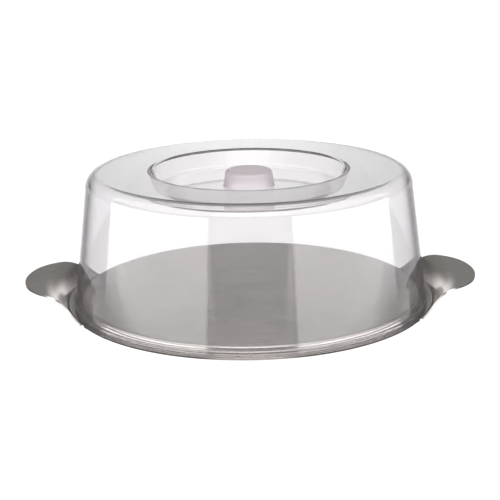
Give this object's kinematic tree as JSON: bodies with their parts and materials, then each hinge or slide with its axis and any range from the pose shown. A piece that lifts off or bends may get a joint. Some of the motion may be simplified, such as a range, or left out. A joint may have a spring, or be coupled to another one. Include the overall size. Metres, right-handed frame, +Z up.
{
  "type": "cake platter",
  "caption": "Round pressed-steel cake platter with a raised platform and a wing handle at each side, under a clear moulded hood with a sunk well and frosted knob that lifts off.",
  "frame": {"origin": "on the table, under the centre of the round platter", "axes": "+X along the line through both wing handles, +Y towards the back, +Z up along the axis of the platter and hood"},
  "size_m": [0.3752, 0.3, 0.1105],
  "materials": {
    "stainless_steel": "satin",
    "clear_plastic": "polished, with a frosted knob"
  },
  "bodies": {
    "platter": {"platter": "stainless_steel"},
    "hood": {"hood": "clear_plastic"}
  },
  "joints": [
    {"name": "hood_lift", "type": "slide", "parent": "platter", "child": "hood", "axis": [0, 0, 1], "range_m": [0, 0.15]}
  ]
}
